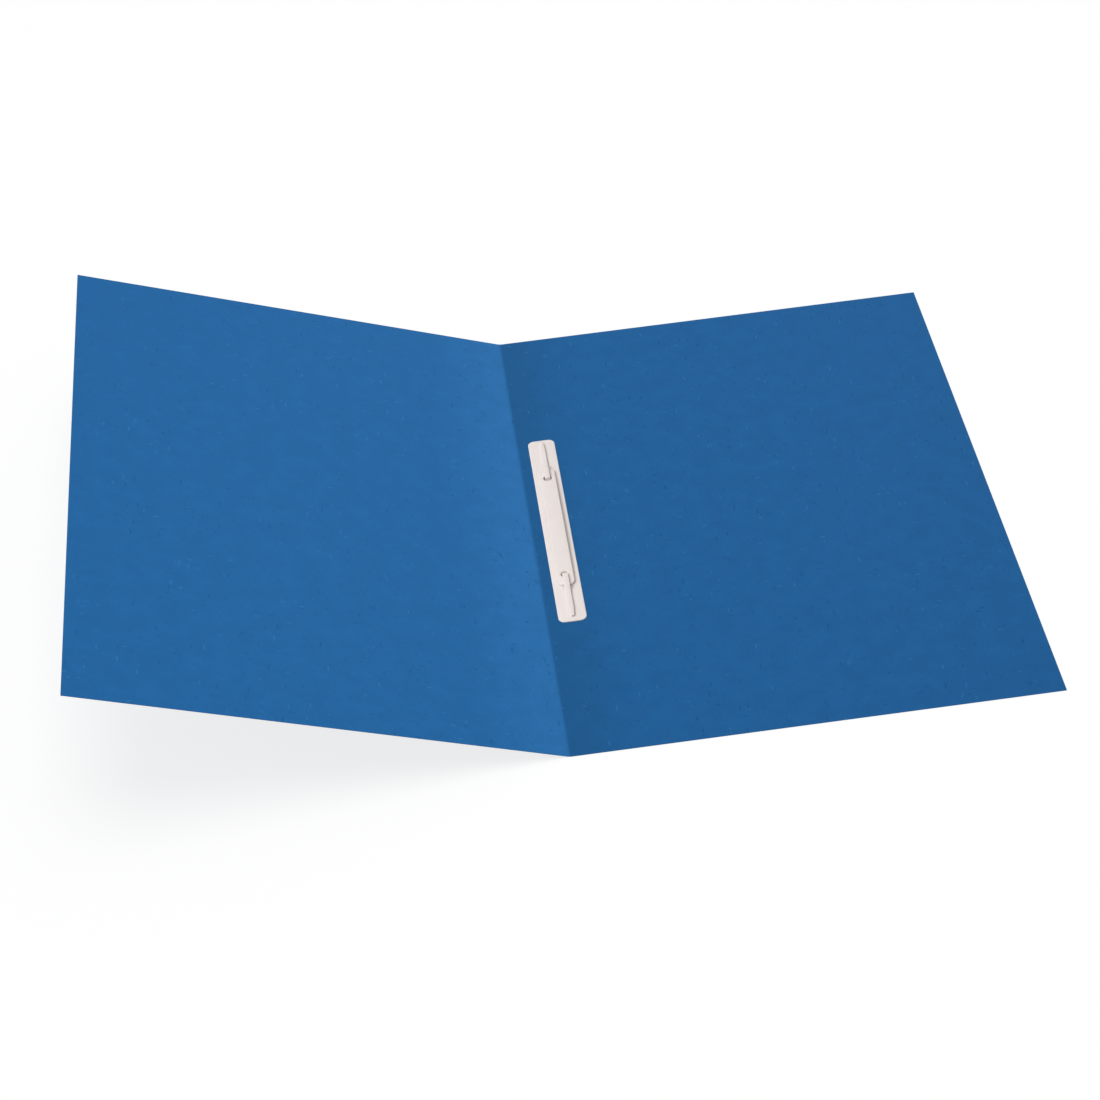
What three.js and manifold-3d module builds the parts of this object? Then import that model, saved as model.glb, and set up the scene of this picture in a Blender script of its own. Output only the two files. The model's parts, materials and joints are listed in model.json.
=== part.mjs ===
// An open two-leaf card folder with a flat-bar fastener on its back leaf.
//
// Millimetres, +Z up. The crease runs along Y. The back leaf lies flat on the +X side and carries the
// fastener, and the front leaf stands up at an angle on the -X side. The origin is at the middle of
// the bottom of the whole object's box.

import * as THREE from 'three';
import { mergeVertices } from 'three/addons/utils/BufferGeometryUtils.js';
import Module from 'manifold-3d';

const wasm = await Module();
wasm.setup();

// Card sheet
const leafWidth = 250;
const leafHeight = 340;
const cardThickness = 0.4;
const leafCornerRadius = 0.8;
const openAngle = THREE.MathUtils.degToRad(20.35);

// Scored crease: a bead raised on the inside and a groove pressed into the outside
const creaseBeadWidth = 1.1;
const creaseBeadHeight = 0.22;
const creaseGrooveWidth = 0.9;
const creaseGrooveDepth = 0.14;

// Adhesive strip under the fastener
const tapeThickness = 0.15;
const tapeMargin = 1;

// Fastener strip
const stripLength = 150;
const stripWidth = 15;
const stripThickness = 0.8;
const stripCornerRadius = 3.5;
const stripEdgeRound = 0.2;
const stripToFlexZone = 2.6;

// Presser bar, bowed up in the middle and channelled underneath between its holes
const holePitch = 80;
const barOverhang = 8;
const barWidth = 9;
const barThickness = 1.2;
const barCornerRadius = 3.4;
const barChamfer = 0.3;
const barBow = 0.5;
const barHoleDiameter = 4.6;
const barSideWall = 1.1;
const barSkin = 0.7;
const barSolidEnd = 5;
const barLift = 1.2;

// Tongues
const tongueWidth = 3;
const tongueThickness = 0.9;
const tongueTipMargin = 3;
const tongueTipWidth = 2.2;
const tongueTaperLength = 5;
const tongueStepLength = 4;
const tongueHeelRound = 0.3;
const rootFillet = 0.4;

// Clearances
const leafCut = 0.1;
const barSeatGap = 0.1;
const tongueGap = 0.15;
const tongueRootGap = 0.3;
const shutClearance = 0.3;
const cutterSlack = 2;

// Smoothness
const arcSteps = 8;
const bowSteps = 24;

// Heights above the back leaf's inner face
const stripTop = tapeThickness + stripThickness;
const barSeat = stripTop + barSeatGap;
const barTop = barSeat + barThickness;
const barHalfLength = holePitch / 2 + barOverhang;
const barTopAtHole = barTop + bowHeight(holePitch / 2);
const tongueHigh = barTopAtHole + tongueGap;
const tongueLow = stripTop + tongueGap;
const hingeHeight = tongueHigh + tongueThickness / 2;
const tongueLength = (stripLength - holePitch) / 2 - tongueTipMargin;

// When shut, the leaves lie parallel with room between them for the bar at the top of its lift, and
// the flexible zone of the card then makes half a circle round the spine
const liftedBarTop = barTop + barBow + barLift;
const shutGap = Math.max(liftedBarTop, tongueHigh + tongueThickness) + shutClearance;
const spineRadius = (shutGap + cardThickness) / 2;
const flexHalf = Math.PI * spineRadius / 2;

// Places, with the crease put so that the whole box is centred on the origin
const frontReach = leafWidth * Math.cos(openAngle) + cardThickness / 2 * Math.sin(openAngle);
const creaseX = (frontReach - leafWidth) / 2;
const stripX = flexHalf + stripToFlexZone + stripWidth / 2;

const cardMaterial = () => new THREE.MeshStandardMaterial({ color: 0x28649b, roughness: 0.85, metalness: 0 });
const plasticMaterial = () => new THREE.MeshStandardMaterial({ color: 0xe8e0db, roughness: 0.4, metalness: 0 });
const tapeMaterial = () => new THREE.MeshStandardMaterial({ color: 0xd9d2bd, roughness: 0.6, metalness: 0 });

// The bar's rise above its ends, at a distance from its middle
function bowHeight(distance) {
  return barBow * (1 - (distance / barHalfLength) ** 2);
}

function named(name, geometry, material) {
  const mesh = new THREE.Mesh(geometry, material);
  mesh.name = name;
  return mesh;
}

function toSolid(geometry) {
  const bare = geometry.clone();
  bare.deleteAttribute('normal');
  bare.deleteAttribute('uv');
  const merged = mergeVertices(bare);
  return new wasm.Manifold(new wasm.Mesh({
    numProp: 3,
    vertProperties: new Float32Array(merged.attributes.position.array),
    triVerts: new Uint32Array(merged.index.array),
  }));
}

function toGeometry(solid) {
  const mesh = solid.getMesh();
  const geometry = new THREE.BufferGeometry();
  geometry.setAttribute('position', new THREE.BufferAttribute(mesh.vertProperties, 3));
  geometry.setIndex(new THREE.BufferAttribute(mesh.triVerts, 1));
  geometry.computeVertexNormals();
  return geometry;
}

// A profile drawn in X and Z, run along Y and centred
function extrudeAlongY(profile, length) {
  const body = new THREE.ExtrudeGeometry(profile, { depth: length, bevelEnabled: false, curveSegments: arcSteps });
  body.translate(0, 0, -length / 2);
  return body.applyMatrix4(new THREE.Matrix4().makeBasis(
    new THREE.Vector3(1, 0, 0), new THREE.Vector3(0, 0, 1), new THREE.Vector3(0, -1, 0)));
}

// A profile drawn in Y and Z, run along X and centred
function extrudeAlongX(profile, length) {
  const body = new THREE.ExtrudeGeometry(profile, { depth: length, bevelEnabled: false, curveSegments: arcSteps });
  body.translate(0, 0, -length / 2);
  return body.applyMatrix4(new THREE.Matrix4().makeBasis(
    new THREE.Vector3(0, 1, 0), new THREE.Vector3(0, 0, 1), new THREE.Vector3(1, 0, 0)));
}

// An outline drawn in X and Y, run up from one height to another
function extrudeUp(outline, low, high) {
  const body = new THREE.ExtrudeGeometry(outline, {
    depth: high - low,
    bevelEnabled: false,
    curveSegments: arcSteps,
  });
  return body.translate(0, 0, low);
}

function roundedRectangle(halfWidth, halfLength, radius) {
  const shape = new THREE.Shape();
  shape.absarc(halfWidth - radius, -halfLength + radius, radius, -Math.PI / 2, 0);
  shape.absarc(halfWidth - radius, halfLength - radius, radius, 0, Math.PI / 2);
  shape.absarc(-halfWidth + radius, halfLength - radius, radius, Math.PI / 2, Math.PI);
  shape.absarc(-halfWidth + radius, -halfLength + radius, radius, Math.PI, Math.PI * 1.5);
  return shape;
}

// A leaf of card from near the crease out to its fore edge, where its corners are just eased
function leaf(startX) {
  const endY = leafHeight / 2;
  const shape = new THREE.Shape();
  shape.absarc(leafWidth - leafCornerRadius, -endY + leafCornerRadius, leafCornerRadius, -Math.PI / 2, 0);
  shape.absarc(leafWidth - leafCornerRadius, endY - leafCornerRadius, leafCornerRadius, 0, Math.PI / 2);
  shape.lineTo(startX, endY);
  shape.lineTo(startX, -endY);
  return extrudeUp(shape, -cardThickness / 2, cardThickness / 2);
}

function backCover() {
  return named('back_cover', leaf(flexHalf), cardMaterial());
}

// The front leaf is a back leaf turned half round the Z axis and then raised about the crease
function frontCover() {
  const mesh = named('front_cover', leaf(flexHalf + leafCut), cardMaterial());
  mesh.rotation.z = Math.PI;
  const raised = new THREE.Group();
  raised.rotation.y = openAngle;
  raised.add(mesh);
  return raised;
}

// A point at a distance out from the crease along a leaf, and a height towards the folder's inside
function onBackLeaf(distance, height) {
  return new THREE.Vector2(distance, height);
}

function onFrontLeaf(distance, height) {
  return new THREE.Vector2(
    -distance * Math.cos(openAngle) + height * Math.sin(openAngle),
    distance * Math.sin(openAngle) + height * Math.cos(openAngle));
}

// The flexible zone: two flats that meet in the scored line, with its bead and its groove
function spineCrease() {
  const half = cardThickness / 2;
  const shape = new THREE.Shape();
  const to = (point) => shape.lineTo(point.x, point.y);
  const curveTo = (control, point) => shape.quadraticCurveTo(control.x, control.y, point.x, point.y);
  const start = onBackLeaf(flexHalf, -half);
  shape.moveTo(start.x, start.y);
  to(onBackLeaf(flexHalf, half));
  to(onBackLeaf(creaseBeadWidth / 2, half));
  curveTo(new THREE.Vector2(0, half + 2 * creaseBeadHeight), onFrontLeaf(creaseBeadWidth / 2, half));
  to(onFrontLeaf(flexHalf, half));
  to(onFrontLeaf(flexHalf, -half));
  to(onFrontLeaf(creaseGrooveWidth / 2, -half));
  curveTo(new THREE.Vector2(0, 2 * creaseGrooveDepth - half), onBackLeaf(creaseGrooveWidth / 2, -half));
  return named('spine_crease', extrudeAlongY(shape, leafHeight), cardMaterial());
}

function adhesiveStrip() {
  const radius = stripCornerRadius - tapeMargin;
  const outline = roundedRectangle(stripWidth / 2 - tapeMargin, stripLength / 2 - tapeMargin, Math.max(radius, 0));
  return named('adhesive_strip', extrudeUp(outline, 0, tapeThickness), tapeMaterial());
}

// A tongue's root: a short upright that flares where it grows out of the strip
function tongueRoot() {
  const half = tongueThickness / 2;
  const sunk = tapeThickness + stripThickness / 2;
  const top = tongueHigh - tongueRootGap;
  const shape = new THREE.Shape();
  shape.moveTo(-half - rootFillet, sunk);
  shape.lineTo(half + rootFillet, sunk);
  shape.lineTo(half + rootFillet, stripTop);
  shape.quadraticCurveTo(half, stripTop, half, stripTop + rootFillet);
  shape.lineTo(half, top);
  shape.lineTo(-half, top);
  shape.lineTo(-half, stripTop + rootFillet);
  shape.quadraticCurveTo(-half, stripTop, -half - rootFillet, stripTop);
  return extrudeAlongX(shape, tongueWidth);
}

function fastenerBase() {
  const outline = roundedRectangle(stripWidth / 2, stripLength / 2, stripCornerRadius);
  const plate = new THREE.ExtrudeGeometry(outline, {
    depth: stripThickness - 2 * stripEdgeRound,
    bevelThickness: stripEdgeRound,
    bevelSize: stripEdgeRound,
    bevelOffset: -stripEdgeRound,
    bevelSegments: 2,
    curveSegments: arcSteps,
  });
  plate.translate(0, 0, tapeThickness + stripEdgeRound);
  let body = toSolid(plate);
  for (const side of [-1, 1]) {
    body = body.add(toSolid(tongueRoot().translate(0, side * holePitch / 2, 0)));
  }
  return named('fastener_base', toGeometry(body), plasticMaterial());
}

// The bar's middle line, which rises from both ends to its middle
class BowedLine extends THREE.Curve {
  getPoint(t) {
    const y = (t - 0.5) * 2 * (barHalfLength + cutterSlack);
    return new THREE.Vector3(0, y, bowHeight(y));
  }
}

function barSection(low, high, halfWidth, chamfer) {
  const shape = new THREE.Shape();
  shape.moveTo(-halfWidth, low);
  shape.lineTo(halfWidth, low);
  shape.lineTo(halfWidth, high - chamfer);
  shape.lineTo(halfWidth - chamfer, high);
  shape.lineTo(-halfWidth + chamfer, high);
  shape.lineTo(-halfWidth, high - chamfer);
  return shape;
}

function bowedRun(section) {
  return toSolid(new THREE.ExtrudeGeometry(section, { extrudePath: new BowedLine(), steps: bowSteps }));
}

// The bar in plan is a round-cornered strip. Its channel stops short of the holes, whose ends stay solid
function presserBar() {
  const above = barThickness + barBow + cutterSlack;
  const plan = extrudeUp(roundedRectangle(barWidth / 2, barHalfLength, barCornerRadius), -cutterSlack, above);
  let body = bowedRun(barSection(0, barThickness, barWidth / 2, barChamfer)).intersect(toSolid(plan));
  const channelHalf = barWidth / 2 - barSideWall;
  const channelPlan = extrudeUp(
    roundedRectangle(channelHalf, holePitch / 2 - barSolidEnd, channelHalf / 2), -cutterSlack, above);
  const channel = bowedRun(barSection(-cutterSlack / 2, barThickness - barSkin, channelHalf, 0));
  body = body.subtract(channel.intersect(toSolid(channelPlan)));
  for (const side of [-1, 1]) {
    const hole = new THREE.Shape();
    hole.absarc(0, side * holePitch / 2, barHoleDiameter / 2, 0, Math.PI * 2);
    body = body.subtract(toSolid(extrudeUp(hole, -cutterSlack, above)));
  }
  const mesh = named('presser_bar', toGeometry(body), plasticMaterial());
  mesh.position.z = barSeat;
  return mesh;
}

// A folded tongue seen from the side: flat over the bar's end, then a step down to run along the strip
function tongueSide() {
  const heel = -tongueThickness / 2;
  const stepStart = barOverhang + tongueGap;
  const stepEnd = stepStart + tongueStepLength;
  const stepMiddle = (stepStart + stepEnd) / 2;
  const high = -tongueThickness / 2;
  const low = high - (tongueHigh - tongueLow);
  const shape = new THREE.Shape();
  shape.moveTo(heel, high);
  shape.lineTo(stepStart, high);
  shape.bezierCurveTo(stepMiddle, high, stepMiddle, low, stepEnd, low);
  shape.lineTo(tongueLength, low);
  shape.lineTo(tongueLength, low + tongueThickness);
  shape.lineTo(stepEnd, low + tongueThickness);
  shape.bezierCurveTo(stepMiddle, low + tongueThickness, stepMiddle, high + tongueThickness,
    stepStart, high + tongueThickness);
  shape.lineTo(heel + tongueHeelRound, high + tongueThickness);
  shape.quadraticCurveTo(heel, high + tongueThickness, heel, high + tongueThickness - tongueHeelRound);
  return extrudeAlongX(shape, tongueWidth);
}

// A folded tongue seen from above: straight, then tapered to a round tip
function tonguePlan() {
  const tipRadius = tongueTipWidth / 2;
  const tipCentre = tongueLength - tipRadius;
  const outline = new THREE.Shape();
  outline.moveTo(-tongueWidth / 2, -cutterSlack);
  outline.lineTo(tongueWidth / 2, -cutterSlack);
  outline.lineTo(tongueWidth / 2, tipCentre - tongueTaperLength);
  outline.absarc(0, tipCentre, tipRadius, 0, Math.PI);
  outline.lineTo(-tongueWidth / 2, tipCentre - tongueTaperLength);
  const reach = tongueHigh + cutterSlack;
  return extrudeUp(outline, -reach, reach);
}

// Each tongue's group stands at its hinge, so turning the group about X bends the tongue up
function tongue(name, side) {
  const body = toSolid(tongueSide()).intersect(toSolid(tonguePlan()));
  const hinge = new THREE.Group();
  hinge.position.set(0, side * holePitch / 2, hingeHeight);
  hinge.rotation.z = side > 0 ? 0 : Math.PI;
  hinge.add(named(name, toGeometry(body), plasticMaterial()));
  return hinge;
}

function fastener() {
  const group = new THREE.Group();
  group.position.set(stripX, 0, cardThickness / 2);
  group.add(adhesiveStrip(), fastenerBase(), presserBar());
  group.add(tongue('upper_tongue', 1), tongue('lower_tongue', -1));
  return group;
}

const folder = new THREE.Group();
folder.position.set(creaseX, 0, cardThickness / 2);
folder.add(backCover(), spineCrease(), frontCover(), fastener());

export default folder;
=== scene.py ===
# %% [markdown]
# # An open card folder with a flat-bar fastener
# This lesson dresses a finished construction model. The frame gives the size and place of every piece
# and says how the pieces move, and each cell below makes one piece or one finish. All lengths in the
# scene are metres, but the sizes are written in millimetres, as a maker would give them.

# %% Load the frame
import json
import math

import bpy
from mathutils import Matrix, Vector


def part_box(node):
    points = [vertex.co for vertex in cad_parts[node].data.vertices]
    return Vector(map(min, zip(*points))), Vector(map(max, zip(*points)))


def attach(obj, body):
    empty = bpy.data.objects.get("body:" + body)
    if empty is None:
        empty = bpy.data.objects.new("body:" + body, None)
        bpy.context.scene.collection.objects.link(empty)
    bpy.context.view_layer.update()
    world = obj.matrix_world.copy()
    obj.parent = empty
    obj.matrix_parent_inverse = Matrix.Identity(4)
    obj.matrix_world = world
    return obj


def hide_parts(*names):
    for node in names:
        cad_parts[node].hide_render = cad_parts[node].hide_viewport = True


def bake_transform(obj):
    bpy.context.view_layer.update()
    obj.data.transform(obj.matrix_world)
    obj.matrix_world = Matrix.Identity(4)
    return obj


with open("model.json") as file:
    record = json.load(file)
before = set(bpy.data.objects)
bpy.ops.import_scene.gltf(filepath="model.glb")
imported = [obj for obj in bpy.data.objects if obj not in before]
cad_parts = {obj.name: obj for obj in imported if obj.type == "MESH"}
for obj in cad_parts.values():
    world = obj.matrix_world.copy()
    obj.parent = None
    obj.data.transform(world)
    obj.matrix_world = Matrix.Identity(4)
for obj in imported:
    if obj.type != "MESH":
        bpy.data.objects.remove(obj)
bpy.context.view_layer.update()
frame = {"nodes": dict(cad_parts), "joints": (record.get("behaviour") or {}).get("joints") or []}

MM = 0.001

# %% [markdown]
# ## Read the sizes from the frame
# What the frame knows isn't written down again. The card's thickness and reach come from the boxes of the
# card nodes, and the fold lines of the spine and the tongues come from the joints, so the dressed pieces
# follow the construction model if those change. Only what no box shows, such as the radius of a corner, is
# given as a size of its own, in the cell that needs it.

# %% Sizes and hinge lines
joints = {joint["name"]: joint for joint in frame["joints"]}
spine_pivot = Vector(joints["spine_fold"]["pos_m"])
upper_pivot = Vector(joints["upper_tongue_bend"]["pos_m"])
FOLD = math.radians(joints["spine_fold"]["range_deg"][1])

back_low, back_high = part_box("back_cover")
strip_low, strip_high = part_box("fastener_base")
tape_low, tape_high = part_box("adhesive_strip")
bar_low, bar_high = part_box("presser_bar")
tongue_low, tongue_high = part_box("upper_tongue")

CARD = back_high[2] - back_low[2]
AXIS_HEIGHT = spine_pivot.z - CARD / 2
CREASE_X = spine_pivot.x - AXIS_HEIGHT * math.tan(FOLD / 2)
LEAF_WIDTH = back_high[0] - CREASE_X
LEAF_HEIGHT = back_high[1] - back_low[1]
STRIP_X = (strip_low[0] + strip_high[0]) / 2
HOLE_Y = upper_pivot.y
print("leaf, mm:", round(LEAF_WIDTH / MM, 2), "x", round(LEAF_HEIGHT / MM, 2),
      "crease at", round(CREASE_X / MM, 2))

# %% [markdown]
# ## Small helpers
# A colour is written as the hex value that a paint program shows. Blender's shaders work with linear
# light, so one function turns the hex value to linear.
#
# One more function adds a node to any tree, be it a material or Geometry Nodes. It sets the node up and
# fills its inputs, in order, or by name where they come as a dictionary. An input takes a plain value or a
# link, and where the value is itself a node, that node's first output is linked. The Mix node has an A, a B
# and a result for each kind of value, all under the same names, so its colour sockets go by number.

# %% Colours and nodes
MIX_A = 6
MIX_B = 7
MIX_RESULT = 2


def linear(hex_colour):
    """The linear red, green and blue of an sRGB hex colour, with alpha 1."""
    channels = [int(hex_colour[i:i + 2], 16) / 255 for i in (1, 3, 5)]
    return (*[c / 12.92 if c <= 0.04045 else ((c + 0.055) / 1.055) ** 2.4 for c in channels], 1.0)


def fill_inputs(tree, node, inputs):
    """Gives each input its plain value, or a link from another node."""
    for name, value in inputs.items():
        if isinstance(value, bpy.types.Node):
            value = value.outputs[0]
        if isinstance(value, bpy.types.NodeSocket):
            tree.links.new(value, node.inputs[name])
        else:
            node.inputs[name].default_value = value
    return node


def add_node(tree, kind, *values, **settings):
    """A new node with its settings, and with its inputs filled."""
    node = tree.nodes.new(kind)
    for name, setting in settings.items():
        setattr(node, name, setting)
    named = values and isinstance(values[0], dict)
    return fill_inputs(tree, node, values[0] if named else dict(enumerate(values)))


print("white as linear light:", linear("#ffffff"))

# %% [markdown]
# Every piece ends as a plain mesh whose object stands at the origin. Modifiers are a good way to work, so
# a helper evaluates an object with its modifiers, keeps the result and removes them. Another one joins a
# row of rings into a closed skin, which is how a moulded strip or bar is built here.

# %% Meshes
CLEAR_EDGE = math.radians(35)


def add_object(name, mesh, material=None):
    piece = bpy.data.objects.new(name, mesh)
    bpy.context.scene.collection.objects.link(piece)
    if material is not None:
        mesh.materials.append(material)
    return piece


def keep_result(piece):
    """Replaces the object's mesh by the one that its modifiers make, and removes them."""
    evaluated = piece.evaluated_get(bpy.context.evaluated_depsgraph_get())
    mesh = bpy.data.meshes.new_from_object(evaluated)
    piece.modifiers.clear()
    piece.data = mesh
    mesh.name = piece.name


def ring_skin(name, rings):
    """A closed mesh over a row of rings with as many points each, with a face over each end."""
    count = len(rings[0])
    points = [point for ring in rings for point in ring]
    faces = [list(reversed(range(count)))]
    for r in range(len(rings) - 1):
        for i in range(count):
            j = (i + 1) % count
            faces.append([r * count + i, r * count + j, (r + 1) * count + j, (r + 1) * count + i])
    faces.append(list(range(len(points) - count, len(points))))
    mesh = bpy.data.meshes.new(name)
    mesh.from_pydata(points, [], faces)
    mesh.validate()
    return mesh


def smooth(mesh):
    """Shades a moulding smooth, apart from its clear edges."""
    mesh.shade_smooth()
    mesh.set_sharp_from_angle(angle=CLEAR_EDGE)


def report(piece):
    print(f"{piece.name}: {len(piece.data.vertices)} points, {len(piece.data.polygons)} faces")


# %% [markdown]
# ## Camera
# The camera was fitted to the corners of the two leaves in the photograph. It has a long lens, stands about
# 1.35 m from the folder and looks down at 42 degrees, almost straight along the crease, rolled a little.

# %% Camera
CAMERA_TARGET = Vector((0.5, -16.7, 0.2)) * MM
CAMERA_DISTANCE = 1351.6 * MM
CAMERA_AZIMUTH = math.radians(-3.164)
CAMERA_ELEVATION = math.radians(41.895)
CAMERA_ROLL = math.radians(-5.31)
LENS_MM = 82.0


def aim(position, target, roll=0.0):
    """A matrix that stands at a position, looks at a target and is rolled about its line of sight."""
    turn = (target - position).to_track_quat("-Z", "Y").to_matrix()
    return Matrix.Translation(position) @ (turn @ Matrix.Rotation(roll, 3, "Z")).to_4x4()


camera = bpy.data.objects.new("camera", bpy.data.cameras.new("camera"))
bpy.context.scene.collection.objects.link(camera)
camera.data.lens = LENS_MM
back = Vector((math.sin(CAMERA_AZIMUTH) * math.cos(CAMERA_ELEVATION),
               -math.cos(CAMERA_AZIMUTH) * math.cos(CAMERA_ELEVATION),
               math.sin(CAMERA_ELEVATION)))
camera.matrix_world = aim(CAMERA_TARGET + back * CAMERA_DISTANCE, CAMERA_TARGET, CAMERA_ROLL)
bpy.context.scene.camera = camera
print("camera at, mm:", [round(v / MM) for v in camera.matrix_world.translation])

# %% [markdown]
# ## Card
# The folder is made of manila card: long softwood fibres, dyed blue in the pulp and pressed smooth, with
# no coating. To the eye that is a matt, very even blue with a fine grain along the crease and slightly
# cloudy, as the pulp was. The pattern is laid on the flat sheet, in an attribute that the sheet keeps from
# before it is folded, so it stays put when the folder closes. Real fibres are 0.03 mm wide, too fine to
# show, so the grain is drawn as bundles half a millimetre wide. Grain and clouds darken the tone that
# they lie on by a few per cent, so they look alike on a pale and on a deep place. Blender's noise rarely
# leaves the span from 0.3 to 0.7, so that span is spread over the whole darkening.

# %% Card grain and clouds
GRAIN_WIDTH = 0.5 * MM
GRAIN_LENGTH = 4.0 * MM
GRAIN_DEPTH = 0.1
CLOUD_SIZE = 12 * MM
CLOUD_DEPTH = 0.08
NOISE_LOW = 0.3
NOISE_HIGH = 0.7


def card_grain(tree, place):
    """The fine grain along the crease, from 0 to 1."""
    stretched = add_node(tree, "ShaderNodeMapping", {
        "Vector": place, "Scale": (1 / GRAIN_WIDTH, 1 / GRAIN_LENGTH, 1 / GRAIN_WIDTH)})
    return add_node(tree, "ShaderNodeTexNoise", {
        "Vector": stretched, "Scale": 1.0, "Detail": 3.0, "Roughness": 0.6})


def mottled(tree, place, tone, grain):
    """The tone, darkened a little by the clouds and the grain."""
    clouds = add_node(tree, "ShaderNodeTexNoise", {"Vector": place, "Scale": 1 / CLOUD_SIZE, "Detail": 2.0})
    for pattern, depth in ((clouds, CLOUD_DEPTH), (grain, GRAIN_DEPTH)):
        share = add_node(tree, "ShaderNodeMapRange", {
            "Value": pattern, "From Min": NOISE_LOW, "From Max": NOISE_HIGH,
            "To Min": 1.0, "To Max": 1 - depth})
        tone = add_node(tree, "ShaderNodeVectorMath", {0: tone, "Scale": share}, operation="SCALE")
    return tone


print("grain, mm:", GRAIN_WIDTH / MM, "x", GRAIN_LENGTH / MM, "clouds, mm:", round(CLOUD_SIZE / MM))

# %% [markdown]
# Here and there a stray fibre lies on the surface and took more or less dye than its neighbours, so the
# sheet has a scatter of short dark and pale flecks that stand a little proud. Such a fibre is a cell of a
# Voronoi pattern that was stretched to the fibre's proportions. Most cells stay empty: each cell has its
# own random colour, and its red decides whether it holds a fibre, its green whether that fibre is dark or
# pale, and its blue how large it is. A real fibre is rarely straight, so the place on the sheet is first
# pushed about by a soft noise, and the fibres come out curled. Two such layers, one along the crease and
# one across it, each turned by a small angle, here in radians, keep the flecks from looking combed.

# %% Stray fibres
FIBRE_DARK = "#15558c"
FIBRE_PALE = "#2b6fac"
FIBRE_LENGTH = 5.2 * MM
CROSS_FIBRE_LENGTH = 3.4 * MM
FIBRE_WIDTH = 1.0 * MM
FIBRE_SHARE = 0.28
DARK_SHARE = 0.65
FIBRE_IN_CELL = 0.3
FIBRE_CORE = 0.4
CURL_WIDTH = 2.2 * MM
CURL_LENGTH = 3.5 * MM
LENGTHWISE_TURN = 0.12
CROSSWISE_TURN = 0.3


def curled(tree, place):
    """The place on the sheet, pushed about by a soft noise."""
    push = add_node(tree, "ShaderNodeTexNoise", {"Vector": place, "Scale": 1 / CURL_LENGTH, "Detail": 1.0})
    return add_node(tree, "ShaderNodeVectorMath", push.outputs["Color"], (CURL_WIDTH, CURL_WIDTH, 0.0), place,
                    operation="MULTIPLY_ADD")


def stray_fibres(tree, place, size, turn, colour):
    """Lays one layer of flecks over a colour. Gives the new colour, and how much fleck there is."""
    cells = add_node(tree, "ShaderNodeMapping", {
        "Vector": place, "Rotation": (0.0, 0.0, turn),
        "Scale": tuple(FIBRE_IN_CELL * 2 / side for side in (*size, size[0]))})
    spots = add_node(tree, "ShaderNodeTexVoronoi", {"Vector": cells, "Scale": 1.0}).outputs
    chance = add_node(tree, "ShaderNodeSeparateColor", spots["Color"]).outputs
    reach = add_node(tree, "ShaderNodeMath", chance["Blue"], FIBRE_IN_CELL / 2, FIBRE_IN_CELL / 2,
                     operation="MULTIPLY_ADD")
    core = add_node(tree, "ShaderNodeMath", reach, FIBRE_CORE, operation="MULTIPLY")
    body = add_node(tree, "ShaderNodeMapRange", {
        "Value": spots["Distance"], "From Min": reach, "From Max": core}, interpolation_type="SMOOTHSTEP")
    there = add_node(tree, "ShaderNodeMath", chance["Red"], FIBRE_SHARE, operation="LESS_THAN")
    share = add_node(tree, "ShaderNodeMath", body, there, operation="MULTIPLY")
    dark = add_node(tree, "ShaderNodeMath", chance["Green"], DARK_SHARE, operation="LESS_THAN")
    fibre = add_node(tree, "ShaderNodeMix", {
        "Factor": dark, MIX_A: linear(FIBRE_PALE), MIX_B: linear(FIBRE_DARK)}, data_type="RGBA")
    laid = add_node(tree, "ShaderNodeMix", {
        "Factor": share, MIX_A: colour, MIX_B: fibre.outputs[MIX_RESULT]}, data_type="RGBA")
    return laid.outputs[MIX_RESULT], share


print("one cell in", round(1 / FIBRE_SHARE, 1), "holds a stray fibre")

# %% [markdown]
# Beside the score the blue is painted with light and shade. The front leaf gets a slightly paler band,
# which stands for light bounced off the back leaf. The back leaf gets a slightly deeper one, which stands
# for the shade that the raised front leaf throws. Both fade out over a few centimetres. Uncoated card
# scatters nearly all its light, so it is rough and its gloss is weak, and cellulose has an IOR of 1.47.

# %% Card material
CARD_BLUE = "#1d66a4"
# Painted light and shade beside the score: the front leaf's band is paler for light bounced off the back
# leaf, and the back leaf's band is deeper for the shade of the raised front leaf.
PAINTED_LIGHT_BLUE = "#256ead"
PAINTED_SHADE_BLUE = "#1b6099"
PAINTED_LIGHT_WIDTH = 55 * MM
PAINTED_SHADE_WIDTH = 45 * MM
GRAIN_RELIEF = 0.03 * MM
STRAY_RELIEF = 3.0
CARD_BUMP = 0.3
CARD_SMOOTHEST = 0.78
CARD_ROUGHEST = 0.92
CARD_IOR = 1.47
CARD_GLOSS = 0.12


def new_material(name):
    material = bpy.data.materials.new(name)
    material.use_nodes = True
    return material, material.node_tree, material.node_tree.nodes["Principled BSDF"]


def card_tone(tree, across):
    """The card's blue, with a band of painted light on the front leaf and painted shade on the back, by the
    score.
    """
    sides = []
    for end, blue in ((-PAINTED_LIGHT_WIDTH, PAINTED_LIGHT_BLUE), (PAINTED_SHADE_WIDTH, PAINTED_SHADE_BLUE)):
        nearness = add_node(tree, "ShaderNodeMapRange", {
            "Value": across, "From Min": end, "From Max": 0.0}, interpolation_type="SMOOTHSTEP")
        tone = add_node(tree, "ShaderNodeMix", {
            "Factor": nearness, MIX_A: linear(CARD_BLUE), MIX_B: linear(blue)}, data_type="RGBA")
        sides.append(tone.outputs[MIX_RESULT])
    front, back = sides
    is_front = add_node(tree, "ShaderNodeMath", across, 0.0, operation="LESS_THAN")
    tone = add_node(tree, "ShaderNodeMix", {"Factor": is_front, MIX_A: back, MIX_B: front}, data_type="RGBA")
    return tone.outputs[MIX_RESULT]


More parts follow.
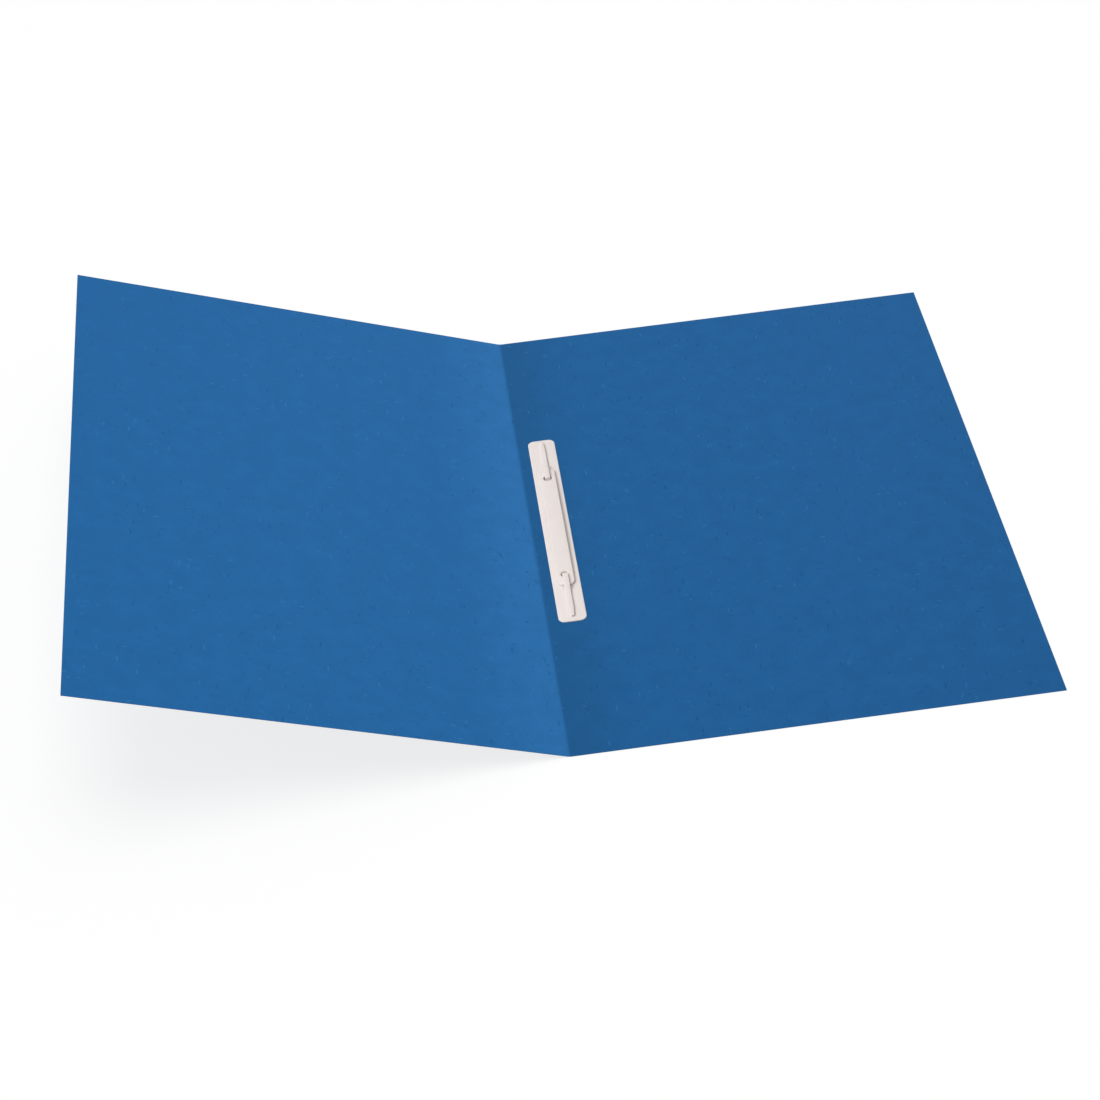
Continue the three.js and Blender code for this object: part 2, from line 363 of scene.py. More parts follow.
def make_card():
    material, tree, surface = new_material("manila_card_pulp_dyed_calendered")
    place = add_node(tree, "ShaderNodeAttribute", attribute_name="flat_place").outputs["Vector"]
    across = add_node(tree, "ShaderNodeSeparateXYZ", place).outputs["X"]
    grain = card_grain(tree, place)
    ground = mottled(tree, place, card_tone(tree, across), grain)
    bent = curled(tree, place)
    colour, lengthwise = stray_fibres(tree, bent, (FIBRE_WIDTH, FIBRE_LENGTH), LENGTHWISE_TURN, ground)
    colour, crosswise = stray_fibres(tree, bent, (CROSS_FIBRE_LENGTH, FIBRE_WIDTH), CROSSWISE_TURN, colour)
    stray = add_node(tree, "ShaderNodeMath", lengthwise, crosswise, operation="MAXIMUM")
    relief = add_node(tree, "ShaderNodeMath", stray, STRAY_RELIEF, grain, operation="MULTIPLY_ADD")
    fill_inputs(tree, surface, {
        "Base Color": colour,
        "Roughness": add_node(tree, "ShaderNodeMapRange", {
            "Value": grain, "To Min": CARD_SMOOTHEST, "To Max": CARD_ROUGHEST}),
        "Normal": add_node(tree, "ShaderNodeBump", {
            "Height": relief, "Strength": CARD_BUMP, "Distance": GRAIN_RELIEF}),
        "IOR": CARD_IOR, "Specular IOR Level": CARD_GLOSS})
    return material


card_material = make_card()
print(card_material.name + ":", len(card_material.node_tree.nodes), "nodes")

# %% [markdown]
# ## Polypropylene and tape
# The fastener is injection-moulded polypropylene in a warm white: a satin, slightly waxy plastic with soft
# edges from the mould and very faint flow marks. Light goes in a little way and comes out again beside, so
# its thin shadows and the insides of its holes are never quite dark. The tape under it is a thin film
# coated with acrylic glue on both sides, cloudy and a little yellow.

# %% Plastic and tape materials
PLASTIC_WHITE = "#ece4e0"
PLASTIC_SHADE = "#e7ded9"
FLOW_MARK = 9 * MM
MOULD_GRAIN = 0.35 * MM
MOULD_RELIEF = 0.01 * MM
PLASTIC_BUMP = 0.15
PLASTIC_SMOOTHEST = 0.34
PLASTIC_ROUGHEST = 0.46
PLASTIC_IOR = 1.49
LIGHT_INSIDE = 0.35
LIGHT_DEPTH = 0.8 * MM
TAPE_CREAM = "#d9d2bd"
TAPE_CLOUD = "#c9c1a8"
GLUE_CELL = 0.8 * MM
TAPE_ROUGHNESS = 0.55


def make_plastic():
    material, tree, surface = new_material("polypropylene_injection_moulded_satin")
    place = add_node(tree, "ShaderNodeTexCoord").outputs["Object"]
    flow, grain = [add_node(tree, "ShaderNodeTexNoise", {"Vector": place, "Scale": 1 / size, "Detail": 2.0})
                   for size in (FLOW_MARK, MOULD_GRAIN)]
    colour = add_node(tree, "ShaderNodeMix", {
        "Factor": flow, MIX_A: linear(PLASTIC_WHITE), MIX_B: linear(PLASTIC_SHADE)}, data_type="RGBA")
    fill_inputs(tree, surface, {
        "Base Color": colour.outputs[MIX_RESULT],
        "Roughness": add_node(tree, "ShaderNodeMapRange", {
            "Value": grain, "To Min": PLASTIC_SMOOTHEST, "To Max": PLASTIC_ROUGHEST}),
        "Normal": add_node(tree, "ShaderNodeBump", {
            "Height": grain, "Strength": PLASTIC_BUMP, "Distance": MOULD_RELIEF}),
        "IOR": PLASTIC_IOR, "Subsurface Weight": LIGHT_INSIDE, "Subsurface Scale": LIGHT_DEPTH,
        "Subsurface Radius": (1.0, 1.0, 1.0)})
    return material


def make_tape():
    material, tree, surface = new_material("acrylic_glue_film_coated")
    place = add_node(tree, "ShaderNodeTexCoord").outputs["Object"]
    cells = add_node(tree, "ShaderNodeTexVoronoi", {"Vector": place, "Scale": 1 / GLUE_CELL})
    colour = add_node(tree, "ShaderNodeMix", {
        "Factor": cells, MIX_A: linear(TAPE_CREAM), MIX_B: linear(TAPE_CLOUD)}, data_type="RGBA")
    fill_inputs(tree, surface, {"Base Color": colour.outputs[MIX_RESULT], "Roughness": TAPE_ROUGHNESS})
    return material


plastic_material = make_plastic()
tape_material = make_tape()
print(plastic_material.name, "and", tape_material.name)

# %% [markdown]
# ## The sheet of card
# On the real folder this is one sheet, scored down the middle and folded. It could be modelled as two
# slabs, but then the fold would be a gap. Here the sheet starts as one flat grid whose columns crowd
# towards the score. Geometry Nodes give it its thickness, press the groove into the outside, raise the
# bead on the inside, and then fold it by a rule. The rule is written once and every size in it is an
# input. First come the three steps that every tree in this lesson shares: its inputs, its end, and the
# way it is run. An edge counts as soft, and is shaded smooth, where its faces meet at less than 40 degrees.

# %% Geometry tree helpers
SOFT_EDGE = math.radians(40)


def new_geometry_tree(name, sizes):
    """A node group with a geometry in and out, and one named number input for each size."""
    tree = bpy.data.node_groups.new(name, "GeometryNodeTree")
    tree.is_modifier = True
    tree.interface.new_socket("Geometry", in_out="INPUT", socket_type="NodeSocketGeometry")
    for size in sizes:
        tree.interface.new_socket(size, in_out="INPUT", socket_type="NodeSocketFloat")
    tree.interface.new_socket("Material", in_out="INPUT", socket_type="NodeSocketMaterial")
    tree.interface.new_socket("Geometry", in_out="OUTPUT", socket_type="NodeSocketGeometry")
    return tree, tree.nodes.new("NodeGroupInput").outputs


def end_tree(tree, geometry, material):
    """The last steps of every tree: shading, real geometry and a material."""
    edge = add_node(tree, "GeometryNodeInputMeshEdgeAngle").outputs["Unsigned Angle"]
    soft = add_node(tree, "ShaderNodeMath", edge, SOFT_EDGE, operation="LESS_THAN")
    faces = add_node(tree, "GeometryNodeSetShadeSmooth", {"Geometry": geometry})
    edges = add_node(tree, "GeometryNodeSetShadeSmooth", {
        "Geometry": faces, "Shade Smooth": soft}, domain="EDGE")
    real = add_node(tree, "GeometryNodeRealizeInstances", {"Geometry": edges})
    dressed = add_node(tree, "GeometryNodeSetMaterial", {"Geometry": real, "Material": material})
    tree.links.new(dressed.outputs["Geometry"], tree.nodes.new("NodeGroupOutput").inputs["Geometry"])


def run_tree(piece, tree, values):
    """Adds the tree as a modifier, sets its inputs by their identifiers, and keeps the result."""
    modifier = piece.modifiers.new(tree.name, "NODES")
    modifier.node_group = tree
    for item in tree.interface.items_tree:
        if item.in_out == "INPUT" and item.name in values:
            modifier[item.identifier] = values[item.name]
    keep_result(piece)


# %% [markdown]
# The fold is one short arc at the score between two flat leaves. A point's way there has two steps. The
# arc takes up some of the sheet's length, so the point first slides towards the score by that much, and
# then it turns about the arc's centre. A point of the back leaf doesn't slide or turn at all, and one of
# the front leaf slides by the whole arc and turns by the whole angle.

# %% Fold rule
CARD_INPUTS = ["Leaf Width", "Leaf Height", "Thickness", "Fold Angle", "Bend Length", "Crease X",
               "Bead Height", "Bead Reach", "Groove Depth", "Groove Reach", "Crowding"]


def relief_height(tree, distance, reach, height):
    """A soft ridge over the score: full height on it, and nothing from its reach on."""
    return add_node(tree, "ShaderNodeMapRange", {
        "Value": distance, "From Min": reach, "From Max": 0.0, "To Min": 0.0, "To Max": height},
        interpolation_type="SMOOTHSTEP")


def fold_rule(tree, size):
    """Where a point of the flat sheet goes."""
    spot = add_node(tree, "ShaderNodeSeparateXYZ", add_node(tree, "GeometryNodeInputPosition")).outputs
    distance = add_node(tree, "ShaderNodeMath", spot["X"], operation="ABSOLUTE")
    middle = add_node(tree, "ShaderNodeMath", size["Thickness"], 0.5, operation="MULTIPLY")
    is_inside = add_node(tree, "ShaderNodeMath", spot["Z"], middle, operation="GREATER_THAN")
    groove = relief_height(tree, distance, size["Groove Reach"], size["Groove Depth"])
    bead = relief_height(tree, distance, size["Bead Reach"], size["Bead Height"])
    relief = add_node(tree, "ShaderNodeMix", {"Factor": is_inside, "A": groove, "B": bead}, data_type="FLOAT")
    surface = add_node(tree, "ShaderNodeMath", spot["Z"], relief, operation="ADD")
    height = add_node(tree, "ShaderNodeMath", surface, middle, operation="SUBTRACT")

    half_bend = add_node(tree, "ShaderNodeMath", size["Bend Length"], 0.5, operation="MULTIPLY")
    radius = add_node(tree, "ShaderNodeMath", size["Bend Length"], size["Fold Angle"], operation="DIVIDE")
    run = add_node(tree, "ShaderNodeMath", half_bend, spot["X"], operation="SUBTRACT")
    slide = add_node(tree, "ShaderNodeClamp", run, 0.0, size["Bend Length"])
    angle = add_node(tree, "ShaderNodeMath", slide, radius, operation="DIVIDE")
    slid = add_node(tree, "ShaderNodeMath", spot["X"], slide, operation="ADD")
    point = add_node(tree, "ShaderNodeCombineXYZ", slid, spot["Y"], height)
    centre = add_node(tree, "ShaderNodeCombineXYZ", half_bend, 0.0, radius)
    turned = add_node(tree, "ShaderNodeVectorRotate", {
        "Vector": point, "Center": centre, "Axis": (0.0, 1.0, 0.0), "Angle": angle})
    crease = add_node(tree, "ShaderNodeCombineXYZ", size["Crease X"], 0.0, middle)
    return add_node(tree, "ShaderNodeVectorMath", turned, crease, operation="ADD")


# %% [markdown]
# The tree around the rule makes the flat sheet. Its grid runs from -1 to 1, and a power draws the columns
# towards the score, where the fold needs them. Then the place of each point is stored for the card's
# pattern, and the sheet gets its thickness: the raised copy makes the inside and the rim, and the flipped
# one closes the outside.

# %% Sheet tree
CARD_COLUMNS = 121
CARD_ROWS = 35
WELD = 0.01 * MM


def sheet_tree():
    tree, size = new_geometry_tree("scored_and_folded_sheet", CARD_INPUTS)
    grid = add_node(tree, "GeometryNodeMeshGrid", {
        "Size X": 2.0, "Size Y": size["Leaf Height"], "Vertices X": CARD_COLUMNS, "Vertices Y": CARD_ROWS})
    spot = add_node(tree, "ShaderNodeSeparateXYZ", add_node(tree, "GeometryNodeInputPosition")).outputs
    distance = add_node(tree, "ShaderNodeMath", spot["X"], operation="ABSOLUTE")
    crowded = add_node(tree, "ShaderNodeMath", distance, size["Crowding"], operation="POWER")
    side = add_node(tree, "ShaderNodeMath", spot["X"], operation="SIGN")
    share = add_node(tree, "ShaderNodeMath", crowded, side, operation="MULTIPLY")
    flat_x = add_node(tree, "ShaderNodeMath", share, size["Leaf Width"], operation="MULTIPLY")
    place = add_node(tree, "ShaderNodeCombineXYZ", flat_x, spot["Y"], 0.0)
    flat = add_node(tree, "GeometryNodeSetPosition", {"Geometry": grid, "Position": place})
    noted = add_node(tree, "GeometryNodeStoreNamedAttribute", {
        "Geometry": flat, "Name": "flat_place", "Value": add_node(tree, "GeometryNodeInputPosition")},
        data_type="FLOAT_VECTOR", domain="POINT")
    raised = add_node(tree, "GeometryNodeExtrudeMesh", {
        "Mesh": noted, "Offset": (0.0, 0.0, 1.0), "Offset Scale": size["Thickness"], "Individual": False},
        mode="FACES")
    bottom = add_node(tree, "GeometryNodeFlipFaces", {"Mesh": noted})
    both = add_node(tree, "GeometryNodeJoinGeometry", raised)
    fill_inputs(tree, both, {0: bottom})
    closed = add_node(tree, "GeometryNodeMergeByDistance", {"Geometry": both, "Distance": WELD})
    folded = add_node(tree, "GeometryNodeSetPosition", {
        "Geometry": closed, "Position": fold_rule(tree, size)})
    end_tree(tree, folded, size["Material"])
    return tree


# %% [markdown]
# At rest the card bends over a short length right at the score, and the bead and the groove fade out beside
# it. The sheet stands for three nodes, which are hidden.

# %% Folded card
BEND_LENGTH = 2.4 * MM
BEAD_HEIGHT = 0.1 * MM
BEAD_REACH = 0.6 * MM
GROOVE_DEPTH = 0.14 * MM
GROOVE_REACH = 0.5 * MM
CROWDING = 1.8

card = add_object("folded_card", bpy.data.meshes.new("folded_card"))
run_tree(card, sheet_tree(), {
    "Leaf Width": LEAF_WIDTH, "Leaf Height": LEAF_HEIGHT, "Thickness": CARD, "Fold Angle": FOLD,
    "Bend Length": BEND_LENGTH, "Crease X": CREASE_X, "Bead Height": BEAD_HEIGHT, "Bead Reach": BEAD_REACH,
    "Groove Depth": GROOVE_DEPTH, "Groove Reach": GROOVE_REACH, "Crowding": CROWDING,
    "Material": card_material})
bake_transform(card)
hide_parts("back_cover", "spine_crease", "front_cover")
report(card)

# %% [markdown]
# ## Fastener strip
# The moulded strip is a flat bar with round corners. A mould rounds every upper edge a little, and that
# thin bright line is what makes it read as plastic. The outline is four arcs, and rings of it are
# stacked: straight up the wall, then round the edge to the top face.

# %% Outlines and edges
CORNER_STEPS = 12
EDGE_STEPS = 5
EASED_SHARE = 0.3


def rounded_outline(half_x, half_y, radius):
    """The points of a round-cornered rectangle, anticlockwise."""
    outline = []
    for sign_x, sign_y, first in [(1, -1, -90), (1, 1, 0), (-1, 1, 90), (-1, -1, 180)]:
        for step in range(CORNER_STEPS + 1):
            angle = math.radians(first + 90 * step / CORNER_STEPS)
            outline.append((sign_x * (half_x - radius) + radius * math.cos(angle),
                            sign_y * (half_y - radius) + radius * math.sin(angle)))
    return outline


def edge_profile(low, high, radius):
    """Pairs of inset and height up a wall with a round upper edge and a slightly eased lower one."""
    eased = radius * EASED_SHARE
    profile = [(eased, low), (0.0, low + eased)]
    for step in range(EDGE_STEPS + 1):
        angle = math.radians(90 * step / EDGE_STEPS)
        profile.append((radius * (1 - math.cos(angle)), high - radius * (1 - math.sin(angle))))
    return profile


# %% Strip
STRIP_CORNER = 3.5 * MM
STRIP_EDGE = 0.3 * MM
STRIP_THICKNESS = 0.8 * MM
strip_half_width = (strip_high[0] - strip_low[0]) / 2
strip_half_length = (strip_high[1] - strip_low[1]) / 2
strip_top = tape_high[2] + STRIP_THICKNESS
strip_rings = [
    [(STRIP_X + x, y, height)
     for x, y in rounded_outline(strip_half_width - inset, strip_half_length - inset, STRIP_CORNER - inset)]
    for inset, height in edge_profile(tape_high[2], strip_top, STRIP_EDGE)]
strip = add_object("moulded_strip", ring_skin("moulded_strip", strip_rings), plastic_material)
smooth(strip.data)
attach(strip, "back_leaf")
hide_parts("fastener_base")
report(strip)

# %% [markdown]
# ## Presser bar
# The bar is a thin moulding that springs up a little in the middle when the tongues hold its ends. It is
# skinned over cross-sections along its length, narrower towards the ends, where the plan is rounded. They
# stand evenly along the straight part, and at even angles round the corners and over the end edges. The
# same function makes the cutter for the channel on its underside, which saves plastic between the holes.

# %% Bowed bodies
BAR_CORNER = 3.4 * MM
BAR_EDGE = 0.3 * MM
BAR_THICKNESS = 1.2 * MM
BAR_STEP = 2.0 * MM
CORNER_DEGREES = range(0, 84, 7)
END_DEGREES = range(0, 91, 30)
bar_half_length = (bar_high[1] - bar_low[1]) / 2
bar_half_width = (bar_high[0] - bar_low[0]) / 2
bar_bow = bar_high[2] - bar_low[2] - BAR_THICKNESS


def bow_at(y):
    """The bar's rise above its ends, at a place along its length."""
    return bar_bow * (1 - (y / bar_half_length) ** 2)


def bowed_section(y, half_length, half_width, corner, edge, low, high):
    """One cross-section, with round upper edges, drawn in to follow a round-cornered plan."""
    past = max(abs(y) - (half_length - corner), 0)
    half = half_width - corner + math.sqrt(max(corner ** 2 - past ** 2, 0))
    near_end = max(abs(y) - (half_length - edge), 0)
    drop = edge - math.sqrt(max(edge ** 2 - near_end ** 2, 0))
    right = [(half - inset, height) for inset, height in edge_profile(low, high - drop, edge)]
    left = [(-x, height) for x, height in reversed(right)]
    return [(STRIP_X + x, y, height + bow_at(y)) for x, height in right + left]


def bowed_body(name, half_length, half_width, corner, edge, low, high):
    """A skin over even sections, with closer ones round the corners and the edges."""
    straight = half_length - corner
    count = round(straight / BAR_STEP)
    half = {straight * i / count for i in range(count)}
    half |= {straight + corner * math.sin(math.radians(a)) for a in CORNER_DEGREES}
    half |= {half_length - edge * (1 - math.sin(math.radians(a))) for a in END_DEGREES}
    places = sorted({-y for y in half} | half)
    rings = [bowed_section(y, half_length, half_width, corner, edge, low, high) for y in places]
    return add_object(name, ring_skin(name, rings))


bar = bowed_body("bowed_presser_bar", bar_half_length, bar_half_width, BAR_CORNER, BAR_EDGE,
                 bar_low[2], bar_low[2] + BAR_THICKNESS)
bar.data.materials.append(plastic_material)
print("bow, mm:", round(bar_bow / MM, 2))

# %% [markdown]
# The channel and the two holes with their eased rims are cut with a Boolean, which is the plain way to
# make a clean opening. A cutter reaches past the surface that it cuts, and never ends on it.

# %% Bar openings
BAR_HOLE = 4.6 * MM
HOLE_RIM = 0.2 * MM
HOLE_SEGMENTS = 64
CHANNEL_WALL = 1.1 * MM
CHANNEL_DEPTH = 0.5 * MM
CHANNEL_END = 5.0 * MM
CHANNEL_CORNER = 1.7 * MM
CHANNEL_EDGE = 0.15 * MM
OVERCUT = 1.0 * MM


def hole_cutter(y):
    """A round cutter that widens above the bar's face, so that the rim comes out eased."""
    face = bar_low[2] + bow_at(y) + BAR_THICKNESS
    radius = BAR_HOLE / 2
    levels = [(radius, bar_low[2] - OVERCUT), (radius, face - HOLE_RIM),
              (radius + HOLE_RIM + OVERCUT, face + OVERCUT)]
    angles = [2 * math.pi * i / HOLE_SEGMENTS for i in range(HOLE_SEGMENTS)]
    rings = [[(STRIP_X + r * math.cos(a), y + r * math.sin(a), z) for a in angles] for r, z in levels]
    return add_object("cutter", ring_skin("cutter", rings))


def cut(piece, cutters):
    for cutter in cutters:
        modifier = piece.modifiers.new("cut", "BOOLEAN")
        modifier.object = cutter
        modifier.operation = "DIFFERENCE"
        modifier.solver = "EXACT"
    bpy.context.view_layer.update()
    keep_result(piece)
    for cutter in cutters:
        bpy.data.objects.remove(cutter)


channel = bowed_body("channel", HOLE_Y - CHANNEL_END, bar_half_width - CHANNEL_WALL, CHANNEL_CORNER,
                     CHANNEL_EDGE, bar_low[2] - OVERCUT, bar_low[2] + CHANNEL_DEPTH)
cut(bar, [channel, hole_cutter(HOLE_Y), hole_cutter(-HOLE_Y)])
smooth(bar.data)
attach(bar, "presser_bar")
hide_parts("presser_bar")
report(bar)

# %% [markdown]
# ## Tongues
# Each tongue grows out of the strip, comes up through its hole, turns outward over the bar's end, steps
# down and lies along the strip. That is a flat ribbon along a path, so Geometry Nodes sweep a rounded
# section along a line and then narrow it towards the tip. The path is made of straight runs and arcs.

# %% Tongue path
TONGUE_WIDTH = tongue_high[0] - tongue_low[0]
TONGUE_THICKNESS = 2 * (tongue_high[2] - upper_pivot.z)
ELBOW_RADIUS = 0.7 * MM
STEP_GAP = 0.15 * MM
STEP_LENGTH = 4.0 * MM
PATH_STEP = 0.25 * MM
ROOT_STEPS = 6
ELBOW_DEGREES = range(0, 91, 10)


def tongue_path():
    """Points of the ribbon's middle line, as distance out from the hole and height, root first."""
    run_height = upper_pivot.z
    elbow_low = run_height - ELBOW_RADIUS
    root_height = strip_top - TONGUE_THICKNESS / 2
    rest_height = tongue_low[2] + TONGUE_THICKNESS / 2
    points = [(0.0, root_height + (elbow_low - root_height) * i / ROOT_STEPS) for i in range(ROOT_STEPS)]
    for degrees in ELBOW_DEGREES:
        angle = math.radians(degrees)
        points.append((ELBOW_RADIUS * (1 - math.cos(angle)), elbow_low + ELBOW_RADIUS * math.sin(angle)))
    tip = tongue_high[1] - HOLE_Y
    step_start = bar_half_length - HOLE_Y + STEP_GAP
    count = round((tip - ELBOW_RADIUS) / PATH_STEP)
    for i in range(1, count + 1):
        out = ELBOW_RADIUS + (tip - ELBOW_RADIUS) * i / count
        share = min(max((out - step_start) / STEP_LENGTH, 0), 1)
        fall = share * share * (3 - 2 * share)
        points.append((out, run_height + (rest_height - run_height) * fall))
    return points


print("path points:", len(tongue_path()))

# %% [markdown]
# The taper is a rule on the distance to the tip, which the tree stores on the line before it sweeps the
# section: over the last few millimetres the ribbon narrows evenly, and then it ends in a half circle.

# %% Ribbon tree
RIBBON_INPUTS = ["Width", "Thickness", "Edge Radius", "Tip Width", "Taper Length", "Middle X"]
BLUNT_END = 0.1


def taper_rule(tree, size):
    """Draws the ribbon in towards a round tip, by each point's distance from the tip."""
    left = add_node(tree, "GeometryNodeInputNamedAttribute", {"Name": "to_tip"},
                    data_type="FLOAT").outputs["Attribute"]
    radius = add_node(tree, "ShaderNodeMath", size["Tip Width"], 0.5, operation="MULTIPLY")
    start = add_node(tree, "ShaderNodeMath", size["Taper Length"], radius, operation="ADD")
    tip_share = add_node(tree, "ShaderNodeMath", size["Tip Width"], size["Width"], operation="DIVIDE")
    straight = add_node(tree, "ShaderNodeMapRange", {
        "Value": left, "From Min": radius, "From Max": start, "To Min": tip_share, "To Max": 1.0})
    missing = add_node(tree, "ShaderNodeMapRange", {
        "Value": left, "From Min": 0.0, "From Max": radius, "To Min": 1.0, "To Max": 0.0})
    angle = add_node(tree, "ShaderNodeMath", missing, operation="ARCSINE")
    half_circle = add_node(tree, "ShaderNodeMath", angle, operation="COSINE")
    blunted = add_node(tree, "ShaderNodeMath", half_circle, BLUNT_END, operation="MAXIMUM")
    narrow = add_node(tree, "ShaderNodeMath", straight, blunted, operation="MULTIPLY")
    spot = add_node(tree, "ShaderNodeSeparateXYZ", add_node(tree, "GeometryNodeInputPosition")).outputs
    from_middle = add_node(tree, "ShaderNodeMath", spot["X"], size["Middle X"], operation="SUBTRACT")
    across = add_node(tree, "ShaderNodeMath", from_middle, narrow, size["Middle X"], operation="MULTIPLY_ADD")
    return add_node(tree, "ShaderNodeCombineXYZ", across, spot["Y"], spot["Z"])


def ribbon_tree():
    tree, size = new_geometry_tree("ribbon_along_path", RIBBON_INPUTS)
    curve = add_node(tree, "GeometryNodeMeshToCurve", {"Mesh": size["Geometry"]})
    level = add_node(tree, "GeometryNodeSetCurveNormal", {
        "Curve": curve, "Normal": (1.0, 0.0, 0.0)}, mode="FREE")
    along = add_node(tree, "GeometryNodeSplineParameter").outputs["Length"]
    length = add_node(tree, "GeometryNodeSplineLength").outputs["Length"]
    left = add_node(tree, "ShaderNodeMath", length, along, operation="SUBTRACT")
    marked = add_node(tree, "GeometryNodeStoreNamedAttribute", {
        "Geometry": level, "Name": "to_tip", "Value": left}, data_type="FLOAT", domain="POINT")
    outline = add_node(tree, "GeometryNodeCurvePrimitiveQuadrilateral", {
        "Width": size["Width"], "Height": size["Thickness"]})
    section = add_node(tree, "GeometryNodeFilletCurve", {
        "Curve": outline, "Radius": size["Edge Radius"], "Count": 3}, mode="POLY")
    swept = add_node(tree, "GeometryNodeCurveToMesh", {
        "Curve": marked, "Profile Curve": section, "Fill Caps": True})
    tapered = add_node(tree, "GeometryNodeSetPosition", {
        "Geometry": swept, "Position": taper_rule(tree, size)})
    end_tree(tree, tapered, size["Material"])
    return tree


# %% [markdown]
# Each tongue is swept in its rest shape and stands for its node in the frame, which is hidden.

# %% Both tongues
TONGUE_EDGE = 0.12 * MM
TONGUE_TIP = 2.2 * MM
TONGUE_TAPER = 5.0 * MM
ribbon = ribbon_tree()


def make_tongue(name, side):
    points = [(STRIP_X, side * (HOLE_Y + out), height) for out, height in tongue_path()]
    line = bpy.data.meshes.new(name)
    line.from_pydata(points, [(i, i + 1) for i in range(len(points) - 1)], [])
    piece = add_object(name, line)
    run_tree(piece, ribbon, {
        "Width": TONGUE_WIDTH, "Thickness": TONGUE_THICKNESS, "Edge Radius": TONGUE_EDGE,
        "Tip Width": TONGUE_TIP, "Taper Length": TONGUE_TAPER, "Middle X": STRIP_X,
        "Material": plastic_material})
    body = name.replace("moulded_", "")
    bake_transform(piece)
    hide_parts(body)
    report(piece)
    return piece


tongues = [make_tongue("moulded_upper_tongue", 1), make_tongue("moulded_lower_tongue", -1)]

# %% [markdown]
# ## Adhesive strip
# The tape is a flat film under the strip. Its shape in the frame is right as it is, so it only gets its
# material.

# %% Tape
tape = frame["nodes"]["adhesive_strip"]
tape.data.materials.clear()
tape.data.materials.append(tape_material)
print("tape, mm:", round((tape_high[2] - tape_low[2]) / MM, 2), "thick")

# %% [markdown]
# ## Floor and light
# The folder lies on a white surface under plain, soft studio light. The camera should see pure white
# around it, but the floor still has to take the folder's shadow. So where a camera ray meets the floor,
# it sees one part of lit paper and four parts of plain white glow, and all other rays meet lit paper.
# Past the shadow the paper fades out, so that no horizon shows when the folder is seen from the side.

# %% Floor
PAPER_WHITE = "#fdfdfd"
FLOOR_HALF = 3.0
FLOOR_GAP = 0.05 * MM
GLOW_SHARE = 0.8
SHADOW_REACH = 0.5
FADED_AT = 1.2


def sees_background(tree):
    """One for rays that show the background itself: from the camera, in gloss and through glass."""
    ray = add_node(tree, "ShaderNodeLightPath").outputs
    seen = add_node(tree, "ShaderNodeMath", ray["Is Camera Ray"], ray["Is Glossy Ray"], operation="MAXIMUM")
    return add_node(tree, "ShaderNodeMath", seen, ray["Is Transmission Ray"], operation="MAXIMUM")


def make_floor():
    half = FLOOR_HALF
    corners = [(x, y, -FLOOR_GAP) for x, y in ((-half, -half), (half, -half), (half, half), (-half, half))]
    mesh = bpy.data.meshes.new("floor")
    mesh.from_pydata(corners, [], [(0, 1, 2, 3)])
    material, tree, paper = new_material("white_paper_backdrop")
    fill_inputs(tree, paper, {"Base Color": linear(PAPER_WHITE), "Roughness": 1.0, "Specular IOR Level": 0.0})
    glow = add_node(tree, "ShaderNodeEmission", {"Color": (1, 1, 1, 1), "Strength": 1.0})
    place = add_node(tree, "ShaderNodeTexCoord").outputs["Object"]
    distance = add_node(tree, "ShaderNodeVectorMath", place, operation="LENGTH").outputs["Value"]
    glowing = add_node(tree, "ShaderNodeMapRange", {
        "Value": distance, "From Min": SHADOW_REACH, "From Max": FADED_AT,
        "To Min": GLOW_SHARE, "To Max": 1.0},
        interpolation_type="SMOOTHSTEP")
    share = add_node(tree, "ShaderNodeMath", sees_background(tree), glowing, operation="MULTIPLY")
    mixed = add_node(tree, "ShaderNodeMixShader", share, paper, glow)
    fill_inputs(tree, tree.nodes["Material Output"], {"Surface": mixed})
    return add_object("floor", mesh, material)


floor = make_floor()
print("floor, m:", 2 * FLOOR_HALF, "square")

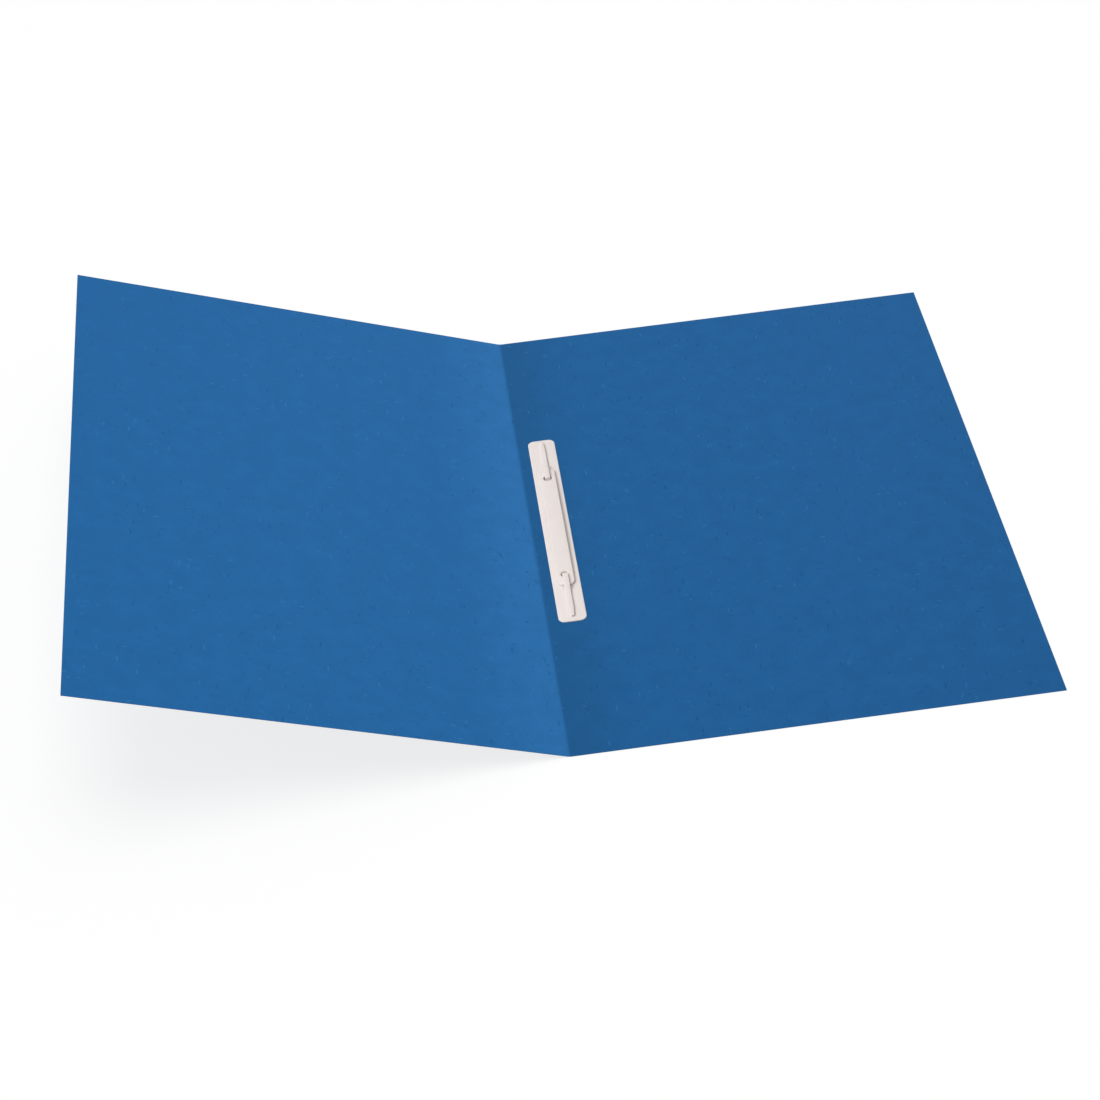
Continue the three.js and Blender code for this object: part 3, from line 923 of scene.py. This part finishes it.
# %% [markdown]
# The world is a faint, even dome. The card is lit by one large softbox far off to the right and behind,
# with a narrow spread, which the raised leaf faces, so that leaf comes out lighter and the light fades a
# little towards the near right corner. The thin shadows along the fastener fall to the right, so a second
# softbox on the left lights the fastener alone. A third one hangs over the floor. Light linking tells
# each lamp what it may light, and it also keeps the fastener from throwing a shadow of the first lamp.

# %% Dome and softboxes
DOME_LEVEL = 0.45


def make_dome():
    world = bpy.data.worlds.new("dome")
    bpy.context.scene.world = world
    world.use_nodes = True
    tree = world.node_tree
    strength = add_node(tree, "ShaderNodeMix", {
        "Factor": sees_background(tree), "A": DOME_LEVEL, "B": 1.0}, data_type="FLOAT")
    fill_inputs(tree, tree.nodes["Background"], {"Color": (1, 1, 1, 1), "Strength": strength})


def collection_of(name, pieces):
    collection = bpy.data.collections.new(name)
    for piece in pieces:
        collection.objects.link(piece)
    return collection


def make_softbox(name, place, target, size, spread, power, lit, blocked_by=None):
    """A round softbox that lights only the objects in one list, and is blocked by those in another."""
    lamp = bpy.data.objects.new(name, bpy.data.lights.new(name, "AREA"))
    bpy.context.scene.collection.objects.link(lamp)
    lamp.data.shape = "DISK"
    lamp.data.size = size
    lamp.data.spread = math.radians(spread)
    lamp.data.energy = power
    lamp.matrix_world = aim(Vector(place), Vector(target))
    lamp.light_linking.receiver_collection = collection_of("lit_by_" + name, lit)
    if blocked_by:
        lamp.light_linking.blocker_collection = collection_of("blocks_" + name, blocked_by)
    print(f"{name}: {power} W, lights", len(lit), "objects")


make_dome()
make_softbox("card_softbox", place=(1.9, 2.67, 2.13), target=(-0.135, -0.052, 0.0),
             size=1.4, spread=25.2, power=4.55, lit=[card], blocked_by=[card])
make_softbox("fastener_softbox", place=(-0.9, -0.2, 1.02), target=(0.0, 0.0, 0.0),
             size=0.9, spread=120.0, power=6.72, lit=[strip, bar, tape, *tongues])
make_softbox("floor_softbox", place=(0.0, 0.0, 3.0), target=(0.0, 0.0, 0.0),
             size=2.5, spread=180.0, power=60.0, lit=[floor])
bpy.context.scene.view_settings.view_transform = "Standard"
